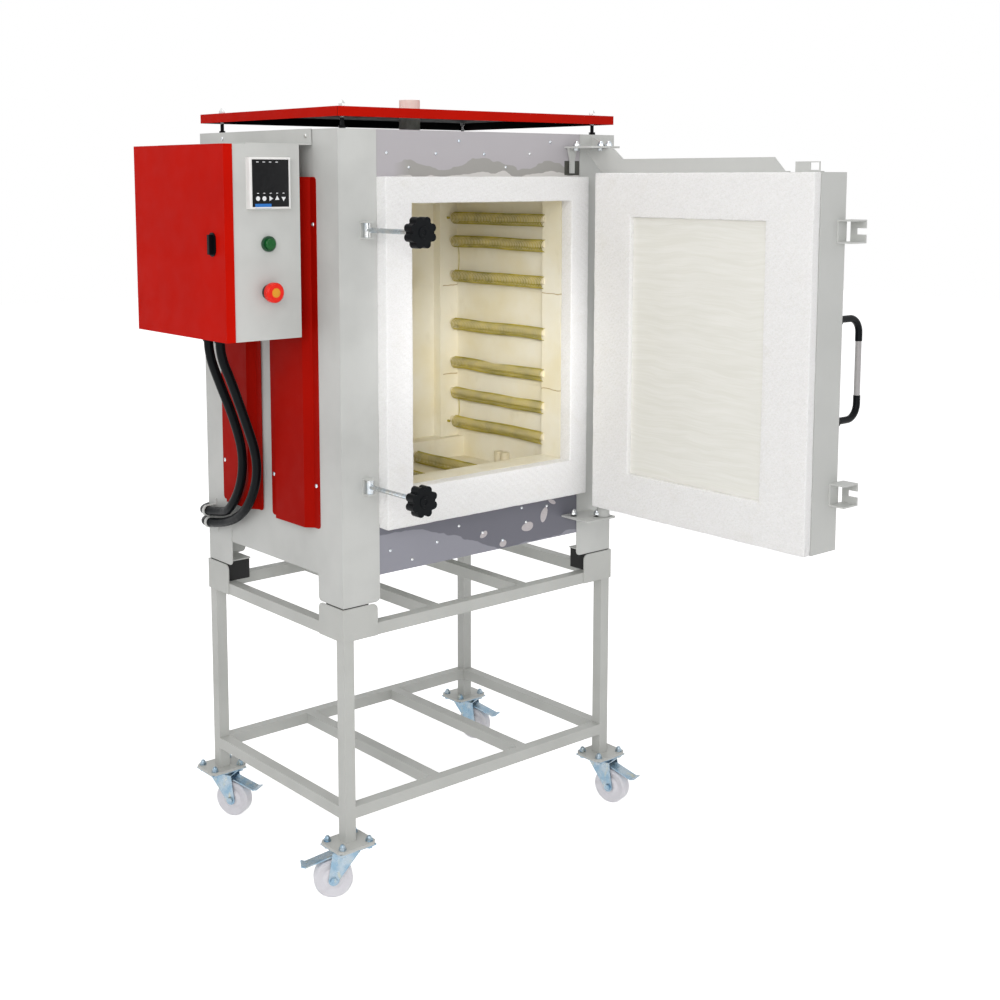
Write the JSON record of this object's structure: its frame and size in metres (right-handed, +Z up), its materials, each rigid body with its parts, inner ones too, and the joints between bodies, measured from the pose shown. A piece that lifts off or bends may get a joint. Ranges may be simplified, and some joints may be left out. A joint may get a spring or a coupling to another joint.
{
  "type": "porcelain kiln",
  "caption": "Front loading electric kiln on a wheeled stand, with a side hinged door, swing bolt locks, wall coils and a control box on its side.",
  "frame": {"origin": "centre of the bounding box at the floor", "axes": "+Z up, -Y towards the kiln's front, +X to the right"},
  "size_m": [1.02, 1.2446, 1.63],
  "materials": {
    "grey_paint": "satin",
    "front_metal": "semi gloss",
    "red_paint": "gloss",
    "white_fibre": "matt",
    "firebrick": "matt fired clay",
    "board": "matt",
    "ceramic": "satin ceramic",
    "element_wire": "oxidised",
    "zinc": "zinc plated",
    "chrome": "bright",
    "black_rubber": "matt",
    "black_plastic": "satin",
    "display_black": "gloss",
    "grey_plastic": "satin",
    "green_plastic": "gloss",
    "red_plastic": "gloss",
    "white_wheel": "satin"
  },
  "bodies": {
    "kiln": {"corner_posts": "grey_paint", "post_pads": "black_rubber", "skin_sheets": "grey_paint", "front_sheet": "front_metal", "backing_boards": "board", "side_bricks": "firebrick", "back_bricks": "firebrick", "roof_bricks": "firebrick", "floor_bricks": "firebrick", "jamb_bricks": "firebrick", "fibre_ring": "white_fibre", "coils_wound": "element_wire", "coils_plain": "element_wire", "ceramic_rods": "ceramic", "back_leads": "element_wire", "vent_tube": "ceramic", "lid_plate": "red_paint", "lid_studs": "chrome", "vent_panels": "red_paint", "stand_legs": "grey_paint", "stand_rails": "grey_paint", "corner_sockets": "grey_paint", "caster_mounts": "zinc", "hinge_carriers": "grey_paint", "clamp_lugs": "grey_paint", "enclosure": "grey_paint", "switch_bezels": "black_plastic", "controller_face": "display_black", "control_gear": "grey_plastic", "conduits": "black_plastic", "rear_cover": "grey_paint", "brackets": "grey_paint"},
    "door": {"door_fibre_frame": "white_fibre", "door_board": "firebrick", "door_casing": "grey_paint", "door_filling": "white_fibre", "door_hinge_leaves": "zinc", "lock_brackets": "grey_paint", "handle_elbows": "black_plastic", "handle_grip": "grey_plastic"},
    "upper_clamp": {"clamp_rod_upper": "chrome"},
    "upper_knob": {"knob_upper": "black_plastic"},
    "lower_clamp": {"clamp_rod_lower": "chrome"},
    "lower_knob": {"knob_lower": "black_plastic"},
    "control_box_door": {"box_door": "red_paint"},
    "control_box_latch": {"box_latch": "black_plastic"},
    "start_button": {"green_button": "green_plastic"},
    "emergency_stop": {"estop_cap": "red_plastic"},
    "caster_fl": {"fork_fl": "zinc"},
    "caster_wheel_fl": {"wheel_fl": "white_wheel"},
    "brake_fl": {"pedal_fl": "zinc"},
    "caster_fr": {"fork_fr": "zinc"},
    "caster_wheel_fr": {"wheel_fr": "white_wheel"},
    "brake_fr": {"pedal_fr": "zinc"},
    "caster_bl": {"fork_bl": "zinc"},
    "caster_wheel_bl": {"wheel_bl": "white_wheel"},
    "brake_bl": {"pedal_bl": "zinc"},
    "caster_br": {"fork_br": "zinc"},
    "caster_wheel_br": {"wheel_br": "white_wheel"},
    "brake_br": {"pedal_br": "zinc"}
  },
  "joints": [
    {"name": "door_swing", "type": "hinge", "parent": "kiln", "child": "door", "pos_m": [0.3685, -0.00925, 1.1], "axis": [0, 0, 1], "range_deg": [-90, 45]},
    {"name": "upper_clamp_swing", "type": "hinge", "parent": "kiln", "child": "upper_clamp", "pos_m": [-0.2345, 0.04575, 1.359], "axis": [0, 0, -1], "range_deg": [0, 95]},
    {"name": "upper_knob_turn", "type": "hinge", "parent": "upper_clamp", "child": "upper_knob", "pos_m": [-0.2345, -0.12, 1.359], "axis": [0, 1, 0], "continuous": true},
    {"name": "lower_clamp_swing", "type": "hinge", "parent": "kiln", "child": "lower_clamp", "pos_m": [-0.2345, 0.04575, 0.849], "axis": [0, 0, -1], "range_deg": [0, 95]},
    {"name": "lower_knob_turn", "type": "hinge", "parent": "lower_clamp", "child": "lower_knob", "pos_m": [-0.2345, -0.12, 0.849], "axis": [0, 1, 0], "continuous": true},
    {"name": "control_box_door_swing", "type": "hinge", "parent": "kiln", "child": "control_box_door", "pos_m": [-0.4835, 0.49825, 1.336], "axis": [0, 0, -1], "range_deg": [0, 115]},
    {"name": "control_box_latch_turn", "type": "hinge", "parent": "control_box_door", "child": "control_box_latch", "pos_m": [-0.4995, 0.18075, 1.334], "axis": [-1, 0, 0], "range_deg": [0, 90]},
    {"name": "start_button_press", "type": "slide", "parent": "kiln", "child": "start_button", "axis": [0, 1, 0], "range_m": [0, 0.004], "stiffness_N_per_m": 400},
    {"name": "emergency_stop_press", "type": "slide", "parent": "kiln", "child": "emergency_stop", "axis": [0, 1, 0], "range_m": [0, 0.005]},
    {"name": "caster_swivel_fl", "type": "hinge", "parent": "kiln", "child": "caster_fl", "pos_m": [-0.2815, 0.06675, 0.095], "axis": [0, 0, 1], "continuous": true},
    {"name": "wheel_turn_fl", "type": "hinge", "parent": "caster_fl", "child": "caster_wheel_fl", "pos_m": [-0.30921, 0.08275, 0.04], "axis": [0.5, 0.866, 0], "continuous": true},
    {"name": "brake_pedal_fl", "type": "hinge", "parent": "caster_fl", "child": "brake_fl", "pos_m": [-0.30748, 0.08175, 0.087], "axis": [-0.5, -0.866, 0], "range_deg": [0, 8]},
    {"name": "caster_swivel_fr", "type": "hinge", "parent": "kiln", "child": "caster_fr", "pos_m": [0.4445, 0.06675, 0.095], "axis": [0, 0, 1], "continuous": true},
    {"name": "wheel_turn_fr", "type": "hinge", "parent": "caster_fr", "child": "caster_wheel_fr", "pos_m": [0.45278, 0.03584, 0.04], "axis": [-0.9659, -0.2588, 0], "continuous": true},
    {"name": "brake_pedal_fr", "type": "hinge", "parent": "caster_fr", "child": "brake_fr", "pos_m": [0.45226, 0.03777, 0.087], "axis": [0.9659, 0.2588, 0], "range_deg": [0, 8]},
    {"name": "caster_swivel_bl", "type": "hinge", "parent": "kiln", "child": "caster_bl", "pos_m": [-0.2815, 0.57575, 0.095], "axis": [0, 0, 1], "continuous": true},
    {"name": "wheel_turn_bl", "type": "hinge", "parent": "caster_bl", "child": "caster_wheel_bl", "pos_m": [-0.2655, 0.54804, 0.04], "axis": [-0.866, -0.5, 0], "continuous": true},
    {"name": "brake_pedal_bl", "type": "hinge", "parent": "caster_bl", "child": "brake_bl", "pos_m": [-0.2665, 0.54977, 0.087], "axis": [0.866, 0.5, 0], "range_deg": [0, 8]},
    {"name": "caster_swivel_br", "type": "hinge", "parent": "kiln", "child": "caster_br", "pos_m": [0.4445, 0.57575, 0.095], "axis": [0, 0, 1], "continuous": true},
    {"name": "wheel_turn_br", "type": "hinge", "parent": "caster_br", "child": "caster_wheel_br", "pos_m": [0.45802, 0.54675, 0.04], "axis": [-0.9063, -0.4226, 0], "continuous": true},
    {"name": "brake_pedal_br", "type": "hinge", "parent": "caster_br", "child": "brake_br", "pos_m": [0.45718, 0.54856, 0.087], "axis": [0.9063, 0.4226, 0], "range_deg": [0, 8]}
  ]
}
